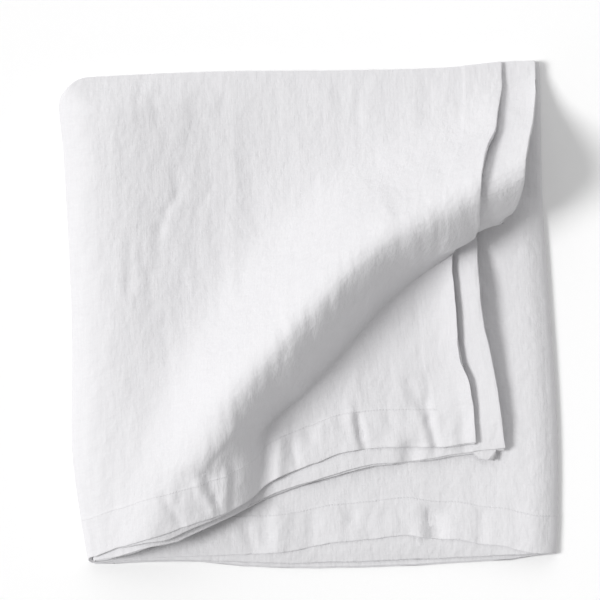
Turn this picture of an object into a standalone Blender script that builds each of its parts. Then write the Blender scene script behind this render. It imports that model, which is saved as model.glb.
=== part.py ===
"""A linen tablecloth, folded to a square packet of eight layers, with its upper half pushed up into a hump.

One sheet of cloth: folded in half towards the front, then zigzag in four panels, A on top, then B, C and D.
Metres. +X is the side where the cloth's ends lie, -Y is the side of the long hems, +Z is up.
"""

import math
from collections import namedtuple

import bmesh
import bpy
import numpy as np

THICKNESS = 0.0010
LAYER_PITCH = 0.0022
LOFT = 0.25  # how much further apart the layers lie in the middle of the packet than at its folds
LOFT_REACH = 0.075

A_END = 0.202  # where the top panel ends, across
B_END = 0.237
LEFT_FOLD = -0.2484  # the outermost line of the packet on its folded side
RIGHT_FOLD_CREST = 0.0050  # how far the fold of the lower half reaches past its straight panels
RIGHT_FOLD_GAP = 0.0052  # between its two layers at the crest
CORNER_SIDE = 0.030
CORNER_FULLNESS = 0.35

# The hump's ridge runs slantwise over the packet, at this angle to X.
RIDGE_ANGLE = math.radians(40)
CLIMB_SHAPE = 0.62
SWELL = 0.07  # the share of the hump's height that is a long low rise before it
SWELL_REACH = 2.0
FOOT_SOFTNESS = 0.09
BLOCK_TURN = 0.135  # how far the threads past the hump are turned back, as a slope

THREAD_STEPS = 600
THREAD_BACK = 0.27
THREAD_FRONT = -0.32
NORMAL_STEP = 0.002
ROWS = 18
BEND_WEIGHT = 0.04  # a bend of one radian draws as many rows to itself as this length of flat cloth
FOLD_SHARES = (0.25, 0.5, 0.75)

# Ridge: place along it, the crest's offset, the height, the widths of the climb and of the fall, and how
# round the fall is, from 1 for a straight slope up to 3 for a full belly over a steep wall.
Ridge = namedtuple("Ridge", "along crest height climb fall belly")
RIDGE = (
    Ridge(-0.350, 0.090, 0.000, 0.050, 0.130, 2.0),
    Ridge(-0.255, 0.050, 0.024, 0.062, 0.103, 1.7),
    Ridge(-0.215, 0.036, 0.032, 0.065, 0.095, 1.8),
    Ridge(-0.185, 0.026, 0.042, 0.065, 0.085, 1.8),
    Ridge(-0.154, 0.017, 0.054, 0.067, 0.066, 1.7),
    Ridge(-0.119, 0.009, 0.069, 0.071, 0.044, 1.8),
    Ridge(-0.062, 0.002, 0.082, 0.074, 0.047, 1.8),
    Ridge(0.000, -0.005, 0.087, 0.077, 0.048, 1.7),
    Ridge(0.061, -0.008, 0.088, 0.077, 0.045, 1.7),
    Ridge(0.106, -0.006, 0.088, 0.076, 0.045, 1.8),
    Ridge(0.147, 0.005, 0.087, 0.074, 0.039, 2.2),
    Ridge(0.180, 0.012, 0.086, 0.072, 0.034, 2.6),
    Ridge(0.206, 0.020, 0.086, 0.072, 0.034, 2.8),
    Ridge(0.230, 0.025, 0.086, 0.066, 0.034, 3.0),
    Ridge(0.300, 0.030, 0.086, 0.050, 0.032, 3.0),
)

# How far the hump pushes each thread back along the ridge, by where the thread starts at the back fold.
Push = namedtuple("Push", "across back")
PUSH = (
    Push(-0.250, 0.000),
    Push(-0.150, 0.000),
    Push(-0.122, 0.005),
    Push(-0.082, 0.023),
    Push(-0.014, 0.048),
    Push(0.057, 0.063),
    Push(0.115, 0.073),
    Push(0.202, 0.077),
    Push(0.237, 0.088),
)

# The left edge is drawn in towards the front corner.
Inset = namedtuple("Inset", "along inwards")
LEFT_INSET = (
    Inset(-0.250, 0.0125),
    Inset(-0.215, 0.0075),
    Inset(-0.190, 0.0040),
    Inset(-0.160, 0.0008),
    Inset(-0.129, -0.0010),
    Inset(-0.105, -0.0008),
    Inset(-0.080, 0.0006),
    Inset(-0.050, 0.0022),
    Inset(-0.015, 0.0036),
    Inset(0.030, 0.0040),
    Inset(0.116, 0.0034),
    Inset(0.218, 0.0020),
    Inset(0.260, 0.0010),
)

# Edges seen from above: each table gives the edge's place in the other direction.
Edge = namedtuple("Edge", "at place")
BACK_FOLD = (
    Edge(-0.250, 0.2500),
    Edge(-0.086, 0.2505),
    Edge(0.043, 0.2465),
    Edge(0.153, 0.2457),
    Edge(0.201, 0.2486),
    Edge(0.245, 0.2490),
)
RIGHT_FOLD = (
    Edge(-0.260, 0.2335),
    Edge(-0.208, 0.2375),
    Edge(-0.153, 0.2398),
    Edge(0.012, 0.2372),
    Edge(0.086, 0.2350),
    Edge(0.233, 0.2372),
)
HEM_A = (
    Edge(-0.250, -0.2440),
    Edge(-0.203, -0.2280),
    Edge(-0.150, -0.2127),
    Edge(-0.094, -0.1940),
    Edge(-0.050, -0.1690),
    Edge(-0.006, -0.1520),
    Edge(0.030, -0.1412),
    Edge(0.095, -0.1380),
    Edge(0.160, -0.1374),
    Edge(0.240, -0.1377),
)
HEM_B = (
    Edge(-0.250, -0.2460),
    Edge(-0.203, -0.2360),
    Edge(-0.150, -0.2230),
    Edge(-0.094, -0.2030),
    Edge(-0.049, -0.1810),
    Edge(-0.003, -0.1690),
    Edge(0.047, -0.1560),
    Edge(0.108, -0.1540),
    Edge(0.153, -0.1480),
    Edge(0.240, -0.1440),
)
HEM_C = (
    Edge(-0.250, -0.2430),
    Edge(-0.126, -0.2415),
    Edge(-0.043, -0.2417),
    Edge(0.013, -0.2336),
    Edge(0.075, -0.2300),
    Edge(0.142, -0.2366),
    Edge(0.188, -0.2450),
    Edge(0.245, -0.2530),
)
HEM_D = (
    Edge(-0.250, -0.2462),
    Edge(-0.132, -0.2480),
    Edge(-0.088, -0.2540),
    Edge(-0.024, -0.2586),
    Edge(0.067, -0.2606),
    Edge(0.159, -0.2600),
    Edge(0.245, -0.2535),
)

# How high the free ends of A and B stand off the panel below, by their place along the edge.
Lift = namedtuple("Lift", "along height")
END_A = (
    Lift(-0.150, 0.0016),
    Lift(-0.039, 0.0022),
    Lift(0.060, 0.0020),
    Lift(0.098, 0.0030),
    Lift(0.168, 0.0018),
    Lift(0.249, 0.0000),
)
END_B = (
    Lift(-0.150, 0.0040),
    Lift(-0.114, 0.0110),
    Lift(-0.065, 0.0130),
    Lift(0.015, 0.0180),
    Lift(0.050, 0.0120),
    Lift(0.076, 0.0030),
    Lift(0.100, 0.0000),
    Lift(0.150, -0.0050),
    Lift(0.213, -0.0040),
    Lift(0.249, 0.0000),
)
LIFT_REACH = 0.045

# How high the cloth bulges beside the folds, by the way inwards from the fold.
Puff = namedtuple("Puff", "inwards height")
LEFT_PUFF = (
    Puff(0.000, 0.0),
    Puff(0.006, 0.0050),
    Puff(0.016, 0.0125),
    Puff(0.026, 0.0165),
    Puff(0.040, 0.0190),
    Puff(0.055, 0.0195),
    Puff(0.072, 0.0180),
    Puff(0.095, 0.0143),
    Puff(0.120, 0.0102),
    Puff(0.150, 0.0056),
    Puff(0.185, 0.0018),
    Puff(0.220, 0.0),
)
RIGHT_PUFF = (
    Puff(-0.010, 0.0),
    Puff(0.000, 0.0),
    Puff(0.005, 0.0034),
    Puff(0.011, 0.0062),
    Puff(0.019, 0.0074),
    Puff(0.032, 0.0066),
    Puff(0.060, 0.0030),
    Puff(0.110, 0.0),
)

# Levels of the middles of the packet's two halves above its lowest layer, counted in layers.
LEVEL_LOWER = 1.5
LEVEL_UPPER = 5.5
PANEL_STEP = 1.0  # each half's two panels lie this far above and below its middle

LINEN_COLOUR = (0.86, 0.855, 0.87, 1.0)


def smooth(at, rows, column):
    """The column's value at each place, on a smooth curve through the table's rows."""
    place = np.array([row[0] for row in rows])
    value = np.array([getattr(row, column) for row in rows])
    slope = np.gradient(value, place)
    at = np.clip(at, place[0], place[-1])
    left = np.clip(np.searchsorted(place, at) - 1, 0, len(place) - 2)
    span = place[left + 1] - place[left]
    t = (at - place[left]) / span
    start = (2 * t**3 - 3 * t**2 + 1) * value[left] + (t**3 - 2 * t**2 + t) * span * slope[left]
    end = (3 * t**2 - 2 * t**3) * value[left + 1] + (t**3 - t**2) * span * slope[left + 1]
    return start + end


def ease(share):
    """A soft step from 0 to 1."""
    share = np.clip(share, 0, 1)
    return share * share * (3 - 2 * share)


def hump(run, cross):
    """The hump's height at each place along the ridge and across it, and the way past its foot."""
    past_crest = cross - smooth(run, RIDGE, "crest")
    fall = smooth(run, RIDGE, "fall")
    before = np.clip(-past_crest / smooth(run, RIDGE, "climb"), 0, None)
    after = np.clip(past_crest / fall, 0, None)
    climb = np.exp(-((before / CLIMB_SHAPE) ** 2))
    swell = np.cos(np.clip(before / SWELL_REACH, 0, 1) * math.pi / 2) ** 2
    rising = (1 - SWELL) * climb + SWELL * swell
    drop = after ** smooth(run, RIDGE, "belly")
    falling = FOOT_SOFTNESS * np.logaddexp(0, (1 - drop) / FOOT_SOFTNESS)
    height = smooth(run, RIDGE, "height") * np.where(past_crest < 0, rising, falling)
    return height, np.clip(past_crest - fall, 0, None)


def left_draw(across, along):
    """How far the drawn-in front left corner moves a point to the right."""
    near = ease((LOFT_REACH - (across - LEFT_FOLD)) / LOFT_REACH)
    return near * smooth(along, LEFT_INSET, "inwards")


def loft(across, along):
    """How far the layers are spread at a point, 1 at the packet's edges."""
    inwards = np.minimum(across - LEFT_FOLD, smooth(across, BACK_FOLD, "place") - along)
    return 1 + LOFT * ease(inwards / LOFT_REACH) * ease((B_END - across) / LOFT_REACH + 0.4)


def thread(across):
    """A thread of the upper half that starts at `across` on the back fold, as it goes over the hump."""
    cosine, sine = math.cos(RIDGE_ANGLE), math.sin(RIDGE_ANGLE)
    cross = across * sine - cosine * np.linspace(THREAD_BACK, THREAD_FRONT, THREAD_STEPS)
    flat_run = across / cosine - cross * sine / cosine
    run = flat_run
    for _ in range(4):
        height, beyond = hump(run, cross)
        taken = np.cumsum(np.hypot(1, np.gradient(height, cross)) - 1)
        run = flat_run - smooth(across, PUSH, "back") * taken / taken[-1] + BLOCK_TURN * beyond
    sideways = run * cosine + cross * sine
    along = run * sine - cross * cosine
    return np.stack([sideways + left_draw(sideways, along), along, height], axis=-1)


def thread_with_normals(across):
    """The thread's points, each with the cloth's unit normal there."""
    points = thread(across)
    sideways = thread(across + NORMAL_STEP) - thread(across - NORMAL_STEP)
    normals = np.cross(np.gradient(points, axis=0), sideways)
    normals /= -np.linalg.norm(normals, axis=1, keepdims=True)
    return np.concatenate([points, normals * np.sign(normals[:1, 2:])], axis=1)


def cut(line, hem):
    """The part of a thread between the back fold and a hem."""
    back = line[:, 1] - smooth(line[:, 0], BACK_FOLD, "place") + LAYER_PITCH
    front = line[:, 1] - smooth(line[:, 0], hem, "place")
    index = np.arange(len(line))
    first = np.interp(0, -back, index)
    last = np.interp(0, -front, index)
    wanted = np.append(np.append(first, index[(index > first) & (index < last)]), last)
    return np.stack([np.interp(wanted, index, value) for value in line.T], axis=1)


def upper_middle(across, hem):
    """A net on the middle of the upper half: a thread for each place across, and ROWS + 1 points down it.

    Its rows are the same for both panels, but for the last one, which lies on the panel's own hem.
    """
    threads = [thread_with_normals(place) for place in across]
    net = np.stack([spaced(cut(line, HEM_A)) for line in threads])
    net[:, -1] = [cut(line, hem)[-1] for line in threads]
    return net[..., :3], net[..., 3:] / np.linalg.norm(net[..., 3:], axis=-1, keepdims=True)


def spaced(line):
    """ROWS + 1 points along a line, closer together where it bends."""
    steps = np.diff(line[:, :3], axis=0)
    length = np.linalg.norm(steps, axis=1)
    heading = steps / length[:, None]
    bend = np.linalg.norm(np.diff(heading, axis=0, append=heading[-1:]), axis=1)
    run = np.append(0, np.cumsum(length + BEND_WEIGHT * bend))
    wanted = np.linspace(0, run[-1], ROWS + 1)
    return np.stack([np.interp(wanted, run, value) for value in line.T], axis=1)


def level(layers, spread=1.0):
    """Height of a level that is counted in layers."""
    return THICKNESS / 2 + layers * LAYER_PITCH * spread


def upper_panel(across, hem, side):
    """Panel A (side 1) or B (side -1): a net of points, each with the way from there to the cloth's outer layer."""
    middle, normals = upper_middle(across, hem)
    spread = loft(middle[..., 0], middle[..., 1])
    middle[..., 2] += level(LEVEL_UPPER, spread)
    pitch = side * LAYER_PITCH * spread[..., None] * normals
    return np.concatenate([middle + PANEL_STEP * pitch, pitch / 2], axis=-1)


def lower_panel(across, hem, side, shares):
    """Panel C (side 1) or D (side -1), as a net like that of the upper ones."""
    top = smooth(across, BACK_FOLD, "place") - LAYER_PITCH
    bottom = smooth(across, hem, "place")
    along = top[:, None] + shares * (bottom - top)[:, None]
    wide = np.broadcast_to(across[:, None], along.shape)
    bow = smooth(along, RIGHT_FOLD, "place") - RIGHT_FOLD_CREST - across[-1]
    sideways = wide + left_draw(wide, along) + ease(wide / across[-1]) * bow
    spread = loft(wide, along) if side > 0 else np.ones_like(along)
    height = level(LEVEL_LOWER + side * PANEL_STEP, spread)
    none = np.zeros_like(along)
    return np.stack([sideways, along, height, none, none, side * LAYER_PITCH / 2 * spread], axis=-1)


def turn(start, end, reach, outwards, steps):
    """The columns of a round fold from one panel's edge to the next.

    The fold bulges across by `reach`, and there the outer layer lies `outwards` from the middle.
    """
    middle = (start + end) / 2
    half = (start - end) / 2
    bulge = np.array([reach, 0, 0, outwards, 0, 0])
    angles = [math.pi * step / steps for step in range(1, steps)]
    return np.stack([middle + math.cos(a) * half + math.sin(a) * bulge for a in angles])


def round_corner(points):
    """Rounds the packet's back left corner."""
    out = np.clip((LEFT_FOLD - points[..., 0]) / CORNER_SIDE + 1, 0, 1)
    back = np.clip((points[..., 1] - BACK_FOLD[0].place) / CORNER_SIDE + 1, 0, 1)
    points[..., 0] += CORNER_SIDE * out * (1 - np.sqrt(1 - CORNER_FULLNESS * back**2))
    points[..., 1] -= CORNER_SIDE * back * (1 - np.sqrt(1 - CORNER_FULLNESS * out**2))


def end_lift(points, end, rows):
    """How far the lift of a panel's free end raises every point that is over it."""
    edge = points[end, ::-1]
    gap = np.interp(points[..., 1], edge[:, 1], edge[:, 0]) - points[..., 0]
    return smooth(points[..., 1], rows, "height") * ease(1 - gap / LIFT_REACH)


def settle(points, panel):
    """Raises the strip to the bulges beside its folds and the lifts of its ends."""
    across, along, height = points[..., 0], points[..., 1], points[..., 2]
    panel = panel[:, None]
    in_lower = panel == LOWER
    right_gap = smooth(along, RIGHT_FOLD, "place") - across
    back_gap = smooth(across, BACK_FOLD, "place") - along
    right_puff = smooth(right_gap, RIGHT_PUFF, "height") * ease((0.085 - along) / 0.03 + 1)
    left_puff = smooth(across - LEFT_FOLD - left_draw(across, along), LEFT_PUFF, "height")
    left_puff = left_puff * ease(back_gap / 0.04) * (0.4 + 0.6 * ease((along + 0.25) / 0.12))
    low_share = np.clip(height / level(LEVEL_LOWER + PANEL_STEP), 0, 1)
    high_share = np.clip(height / level(LEVEL_UPPER + PANEL_STEP), 0, 1)
    rise = right_puff * np.where(in_lower, low_share, 1) + np.where(in_lower, 0, left_puff * high_share)
    rise += np.where((panel == PANEL_A) | (panel == PANEL_B), end_lift(points, -1, END_B), 0)
    rise += np.where(panel == PANEL_A, end_lift(points, 0, END_A), 0)
    points[..., 2] += rise


PANEL_A, PANEL_B, LOWER, LEFT_TURN = range(4)


def strip():
    """Middle surface of the doubled cloth, from the end of A to the end of B, and each column's flat place."""
    left = LEFT_FOLD + level(LEVEL_UPPER + PANEL_STEP) / 2
    upper = np.append([left, left + 0.010], np.linspace(left + 0.024, A_END, 16))
    longer = np.append(upper, [(A_END + B_END) / 2, B_END])
    lower = np.append(np.linspace(left, B_END - 0.040, 8), [B_END - 0.020, B_END - RIGHT_FOLD_CREST])
    panel_a = upper_panel(upper, HEM_A, 1)[::-1]
    panel_b = upper_panel(longer, HEM_B, -1)
    folded = panel_a[-1, :, 1]
    shares = (folded[0] - folded) / (folded[0] - folded[-1])
    panel_c = lower_panel(lower, HEM_C, 1, shares)[::-1]
    panel_d = lower_panel(lower, HEM_D, -1, shares)
    outer = turn(panel_a[-1], panel_d[0], -level(LEVEL_UPPER + PANEL_STEP) / 2, -LAYER_PITCH / 2, 6)
    right = turn(panel_d[-1], panel_c[0], RIGHT_FOLD_CREST, RIGHT_FOLD_GAP / 2, 4)
    inner = turn(panel_c[-1], panel_b[0], -LAYER_PITCH, LAYER_PITCH / 2, 4)
    columns = np.concatenate([panel_a, outer, panel_d, right, panel_c, inner, panel_b])
    round_corner(columns)
    parts = ((PANEL_A, panel_a), (LEFT_TURN, outer), (LOWER, panel_d), (LOWER, right), (LOWER, panel_c),
             (LEFT_TURN, inner), (PANEL_B, panel_b))
    settle(columns, np.concatenate([np.full(len(part), kind) for kind, part in parts]))
    at_left = [left] * len(outer)
    at_right = [lower[-1]] * len(right)
    across = np.concatenate([upper[::-1], at_left, lower, at_right, lower[::-1], [left] * len(inner), longer])
    return columns, across


def sheet_points(columns):
    """Points of the whole cloth: a column for each of the strip's, and rows from one long hem to the other."""
    middle, offset = columns[..., :3], columns[..., 3:]
    outer = middle + offset
    inner = middle - offset
    back = np.array([0, LAYER_PITCH / 2, 0])
    fold = []
    for share in FOLD_SHARES:
        turned = -math.cos(math.pi * share) * offset[:, 0] + math.sin(math.pi * share) * back
        fold.append(middle[:, 0] + turned)
    return np.concatenate([inner[:, ::-1], np.stack(fold, axis=1), outer], axis=1)


def split_along_ridge(bm, flat):
    """Splits each quad by the diagonal that runs with the hump's ridge, the same way in every layer."""
    for face in list(bm.faces):
        a, b, c, d = face.verts
        rise = (flat[c][0] - flat[a][0]) * (flat[c][1] - flat[a][1])
        corners = (a, c) if rise > 0 else (b, d)
        bmesh.utils.face_split(face, *corners)


def linen():
    material = bpy.data.materials.new("White linen")
    material.use_nodes = True
    shader = material.node_tree.nodes["Principled BSDF"]
    shader.inputs["Base Color"].default_value = LINEN_COLOUR
    shader.inputs["Roughness"].default_value = 0.9
    shader.inputs["Metallic"].default_value = 0.0
    material.diffuse_color = LINEN_COLOUR
    return material


def tablecloth(collection):
    """The flat cloth as a grid, each of whose points is carried to its folded place."""
    strip_columns, across = strip()
    points = sheet_points(strip_columns)
    columns, rows = points.shape[:2]
    mesh = bpy.data.meshes.new("tablecloth")
    bm = bmesh.new()
    bmesh.ops.create_grid(bm, x_segments=columns - 1, y_segments=rows - 1, size=0.5)
    flat = {}
    for vert in bm.verts:
        column = round((vert.co.x + 0.5) * (columns - 1))
        row = round((vert.co.y + 0.5) * (rows - 1))
        flat[vert] = (across[column], -abs(row - (rows - 1) / 2))
        vert.co = points[column, row]
    split_along_ridge(bm, flat)
    bm.to_mesh(mesh)
    bm.free()
    cloth = bpy.data.objects.new("tablecloth", mesh)
    collection.objects.link(cloth)
    mesh.materials.append(linen())
    mesh.shade_smooth()
    wall = cloth.modifiers.new("Thickness", "SOLIDIFY")
    wall.thickness = THICKNESS
    wall.offset = 0
    stand_at_origin(cloth)
    return cloth


def stand_at_origin(cloth):
    """Moves the mesh so that the middle of its underside is the origin."""
    bpy.context.view_layer.update()
    evaluated = cloth.evaluated_get(bpy.context.evaluated_depsgraph_get())
    corners = np.array(evaluated.bound_box)
    low, high = corners.min(axis=0), corners.max(axis=0)
    for vert in cloth.data.vertices:
        vert.co.x -= (low[0] + high[0]) / 2
        vert.co.y -= (low[1] + high[1]) / 2


def main():
    for obj in list(bpy.data.objects):
        bpy.data.objects.remove(obj)
    collection = bpy.data.collections.new("Folded tablecloth")
    bpy.context.scene.collection.children.link(collection)
    tablecloth(collection)


main()
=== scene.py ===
"""A folded linen tablecloth, its upper half pushed up into a slanting hump, on a pale floor.

Metres. The cloth is folded in half with its long hems at the front, then zigzag in four panels: A on top, then
B, C and D. Each panel is two layers: the outer one, on the side of the strip's face, and the inner one.
"""

import math
from collections import namedtuple

import bmesh
import bpy
import numpy as np
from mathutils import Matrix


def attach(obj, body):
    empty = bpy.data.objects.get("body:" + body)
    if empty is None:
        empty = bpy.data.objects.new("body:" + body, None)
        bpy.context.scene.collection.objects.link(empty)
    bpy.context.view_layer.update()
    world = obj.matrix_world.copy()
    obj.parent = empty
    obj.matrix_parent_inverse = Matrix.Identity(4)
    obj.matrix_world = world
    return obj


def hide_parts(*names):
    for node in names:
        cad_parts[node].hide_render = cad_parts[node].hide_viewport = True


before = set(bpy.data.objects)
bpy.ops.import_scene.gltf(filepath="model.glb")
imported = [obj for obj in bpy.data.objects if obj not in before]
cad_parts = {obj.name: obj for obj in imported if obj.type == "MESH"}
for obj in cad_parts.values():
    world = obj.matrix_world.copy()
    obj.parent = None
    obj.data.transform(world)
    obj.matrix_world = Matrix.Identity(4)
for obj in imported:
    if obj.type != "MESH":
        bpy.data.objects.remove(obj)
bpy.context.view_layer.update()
bpy.ops.object.select_all(action="DESELECT")

# The cloth.
FLAT_SIZE = (0.98, 1.95)
HALF_THICKNESS = 0.0004
HEM_HALF_THICKNESS = 0.0008
BACK_EXTRA = 0.0004  # the coarser back of the cloth lies this much deeper, to keep it clear of the face
BACK_EXTRA_REACH = 0.010
EDGE_ROUNDING = 0.0009
HEM_WIDTH = 0.040
HEM_STEP = 0.004  # the hem's extra thickness fades out over this width
HEM_WAVER = 0.0006
WAVER_LONG = 0.021
WAVER_SHORT = 0.009
WAVER_SHORT_SHARE = 0.6
LAYER_PITCH = 0.0022
LOFT = 0.25
LOFT_REACH = 0.075
LOFT_AT_B_END = 0.4  # the share of LOFT_REACH already passed where B ends
CENTRE = (-0.0038, -0.0052)  # the packet's middle, in the coordinates of the tables below

CAMERA_HEIGHT = 4.0
SENSOR_WIDTH = 36  # millimetres
VIEW_WIDTH = 0.612
VIEW_TURN = math.radians(2.3)
VIEW_MIDDLE = (-0.0132, 0.0145)  # what the camera looks straight down at

A_END = 0.202
B_END = 0.237
LEFT_FOLD = -0.2484
RIGHT_FOLD_CREST = 0.0050
RIGHT_FOLD_GAP = 0.0052
CORNER_SIDE = 0.030
CORNER_FULLNESS = 0.55
LEVEL_LOWER = 1.5
LEVEL_UPPER = 5.5
LAST_LEVEL = 6.5
FIRST_LEVEL_HEIGHT = 0.0009

RIDGE_ANGLE = math.radians(40)
CLIMB_SHAPE = 0.62
SWELL = 0.07
SWELL_REACH = 2.0
FOOT_SOFTNESS = 0.09
BLOCK_TURN = 0.135
RUN_ROUNDS = 4

THREAD_STEPS = 600
THREAD_BACK = 0.27
THREAD_FRONT = -0.32
BEND_WEIGHT = 0.015
INNER_BEND_WEIGHT = 0.040

BACK_STRIDE = 3
HEM_MARKS = (0, 0.0001, 0.0004, 0.0009, 0.003, 0.0065, 0.0105, 0.0145, 0.0185, 0.0225, 0.0265, 0.0305, 0.0345,
             0.0375, 0.0390, 0.0400, 0.0410, 0.0425, 0.0450)
COARSE_HEM_MARKS = (0, 0.0002, 0.0006, 0.0012, 0.0100, 0.0200, 0.0300, 0.0385, 0.0405, 0.0430, 0.0450)
A_COLUMNS = 150
B_COVERED = 0.110  # B is only seen to the right of this
B_COVERED_COLUMNS = 26
B_COLUMNS = 26
C_COLUMNS = 101
D_COLUMNS = 24
FOLD_STEPS = 12
# For each layer: rows before the hem, places in the hem, and how much a bend draws rows to itself.
LAYER_ROWS = {"outer": (132, HEM_MARKS, BEND_WEIGHT), "inner": (42, COARSE_HEM_MARKS, INNER_BEND_WEIGHT)}
BACK_TURNS = (0.125, 0.25, 0.375, 0.5, 0.625, 0.75, 0.875)

Ridge = namedtuple("Ridge", "along crest height climb fall belly")
RIDGE = (
    Ridge(-0.350, 0.090, 0.000, 0.050, 0.130, 2.0),
    Ridge(-0.255, 0.050, 0.024, 0.062, 0.103, 1.7),
    Ridge(-0.215, 0.036, 0.032, 0.065, 0.095, 1.8),
    Ridge(-0.185, 0.026, 0.042, 0.065, 0.085, 1.8),
    Ridge(-0.154, 0.017, 0.054, 0.067, 0.066, 1.7),
    Ridge(-0.119, 0.009, 0.069, 0.071, 0.044, 1.8),
    Ridge(-0.062, 0.002, 0.082, 0.074, 0.047, 1.8),
    Ridge(0.000, -0.005, 0.087, 0.077, 0.048, 1.7),
    Ridge(0.061, -0.008, 0.088, 0.077, 0.045, 1.7),
    Ridge(0.106, -0.006, 0.088, 0.076, 0.045, 1.8),
    Ridge(0.147, 0.005, 0.087, 0.074, 0.039, 2.2),
    Ridge(0.180, 0.012, 0.086, 0.072, 0.034, 2.6),
    Ridge(0.206, 0.020, 0.086, 0.072, 0.034, 2.8),
    Ridge(0.230, 0.025, 0.086, 0.066, 0.034, 3.0),
    Ridge(0.300, 0.030, 0.086, 0.050, 0.032, 3.0),
)
Push = namedtuple("Push", "across back")
PUSH = (
    Push(-0.250, 0.000),
    Push(-0.150, 0.000),
    Push(-0.122, 0.005),
    Push(-0.082, 0.023),
    Push(-0.014, 0.048),
    Push(0.057, 0.063),
    Push(0.115, 0.073),
    Push(0.202, 0.077),
    Push(0.237, 0.088),
)
Inset = namedtuple("Inset", "along inwards")
LEFT_INSET = (
    Inset(-0.250, 0.0125),
    Inset(-0.215, 0.0075),
    Inset(-0.190, 0.0040),
    Inset(-0.160, 0.0008),
    Inset(-0.129, -0.0010),
    Inset(-0.105, -0.0008),
    Inset(-0.080, 0.0006),
    Inset(-0.050, 0.0022),
    Inset(-0.015, 0.0036),
    Inset(0.030, 0.0040),
    Inset(0.116, 0.0034),
    Inset(0.180, 0.0020),
    Inset(0.218, -0.0008),
    Inset(0.260, -0.0005),
)

# Edges seen from above: each table gives the edge's place in the other direction.
Edge = namedtuple("Edge", "at place")
BACK_FOLD = (
    Edge(-0.250, 0.2500),
    Edge(-0.086, 0.2505),
    Edge(0.043, 0.2465),
    Edge(0.153, 0.2457),
    Edge(0.201, 0.2486),
    Edge(0.245, 0.2490),
)
RIGHT_FOLD = (
    Edge(-0.260, 0.2335),
    Edge(-0.208, 0.2375),
    Edge(-0.153, 0.2398),
    Edge(0.012, 0.2372),
    Edge(0.086, 0.2350),
    Edge(0.233, 0.2372),
)
# Where the hems lie along the cloth, for the outer layer of a panel and for the inner one.
Hem = namedtuple("Hem", "at outer inner")
HEM_A = (
    Hem(-0.250, -0.2440, -0.2440),
    Hem(-0.203, -0.2280, -0.2290),
    Hem(-0.182, -0.2222, -0.2250),
    Hem(-0.158, -0.2150, -0.2222),
    Hem(-0.133, -0.2070, -0.2122),
    Hem(-0.108, -0.1990, -0.2026),
    Hem(-0.080, -0.1870, -0.1885),
    Hem(-0.050, -0.1690, -0.1695),
    Hem(-0.006, -0.1520, -0.1530),
    Hem(0.030, -0.1412, -0.1418),
    Hem(0.070, -0.1384, -0.1398),
    Hem(0.112, -0.1402, -0.1408),
    Hem(0.136, -0.1398, -0.1410),
    Hem(0.160, -0.1374, -0.1392),
    Hem(0.240, -0.1377, -0.1392),
)
HEM_B = (
    Hem(-0.250, -0.2470, -0.2460),
    Hem(-0.203, -0.2375, -0.2362),
    Hem(-0.176, -0.2310, -0.2300),
    Hem(-0.148, -0.2265, -0.2252),
    Hem(-0.126, -0.2172, -0.2160),
    Hem(-0.090, -0.2034, -0.2018),
    Hem(-0.054, -0.1855, -0.1838),
    Hem(-0.003, -0.1705, -0.1688),
    Hem(0.047, -0.1585, -0.1562),
    Hem(0.090, -0.1552, -0.1540),
    Hem(0.120, -0.1530, -0.1512),
    Hem(0.150, -0.1492, -0.1472),
    Hem(0.1580, -0.1486, -0.1464),
    Hem(0.1612, -0.1490, -0.1461),
    Hem(0.1624, -0.1548, -0.1460),
    Hem(0.1650, -0.1552, -0.1457),
    Hem(0.1765, -0.1556, -0.1450),
    Hem(0.1795, -0.1552, -0.1448),
    Hem(0.1806, -0.1482, -0.1446),
    Hem(0.1850, -0.1472, -0.1441),
    Hem(0.190, -0.1462, -0.1436),
    Hem(0.240, -0.1440, -0.1430),
)
HEM_C = (
    Hem(-0.250, -0.2430, -0.2445),
    Hem(-0.126, -0.2412, -0.2460),
    Hem(-0.076, -0.2417, -0.2500),
    Hem(-0.043, -0.2417, -0.2528),
    Hem(-0.017, -0.2382, -0.2535),
    Hem(0.013, -0.2336, -0.2538),
    Hem(0.050, -0.2315, -0.2540),
    Hem(0.087, -0.2295, -0.2542),
    Hem(0.112, -0.2336, -0.2542),
    Hem(0.142, -0.2366, -0.2542),
    Hem(0.160, -0.2407, -0.2540),
    Hem(0.188, -0.2450, -0.2538),
    Hem(0.215, -0.2520, -0.2532),
    Hem(0.245, -0.2530, -0.2530),
)
HEM_D = (
    Hem(-0.250, -0.2462, -0.2450),
    Hem(-0.215, -0.2466, -0.2458),
    Hem(-0.132, -0.2482, -0.2470),
    Hem(-0.088, -0.2540, -0.2525),
    Hem(-0.024, -0.2586, -0.2570),
    Hem(0.067, -0.2606, -0.2590),
    Hem(0.122, -0.2601, -0.2585),
    Hem(0.159, -0.2600, -0.2585),
    Hem(0.196, -0.2583, -0.2570),
    Hem(0.245, -0.2535, -0.2530),
)


def smooth(at, rows, column):
    """The column's value at each place, on a smooth curve through the table's rows."""
    place = np.array([row[0] for row in rows])
    value = np.array([getattr(row, column) for row in rows])
    slope = np.gradient(value, place)
    at = np.clip(at, place[0], place[-1])
    left = np.clip(np.searchsorted(place, at) - 1, 0, len(place) - 2)
    span = place[left + 1] - place[left]
    t = (at - place[left]) / span
    start = (2 * t**3 - 3 * t**2 + 1) * value[left] + (t**3 - 2 * t**2 + t) * span * slope[left]
    end = (3 * t**2 - 2 * t**3) * value[left + 1] + (t**3 - t**2) * span * slope[left + 1]
    return start + end


def ease(share):
    """A soft step from 0 to 1."""
    share = np.clip(share, 0, 1)
    return share * share * (3 - 2 * share)


def unit(vectors):
    return vectors / np.linalg.norm(vectors, axis=-1, keepdims=True)


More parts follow.
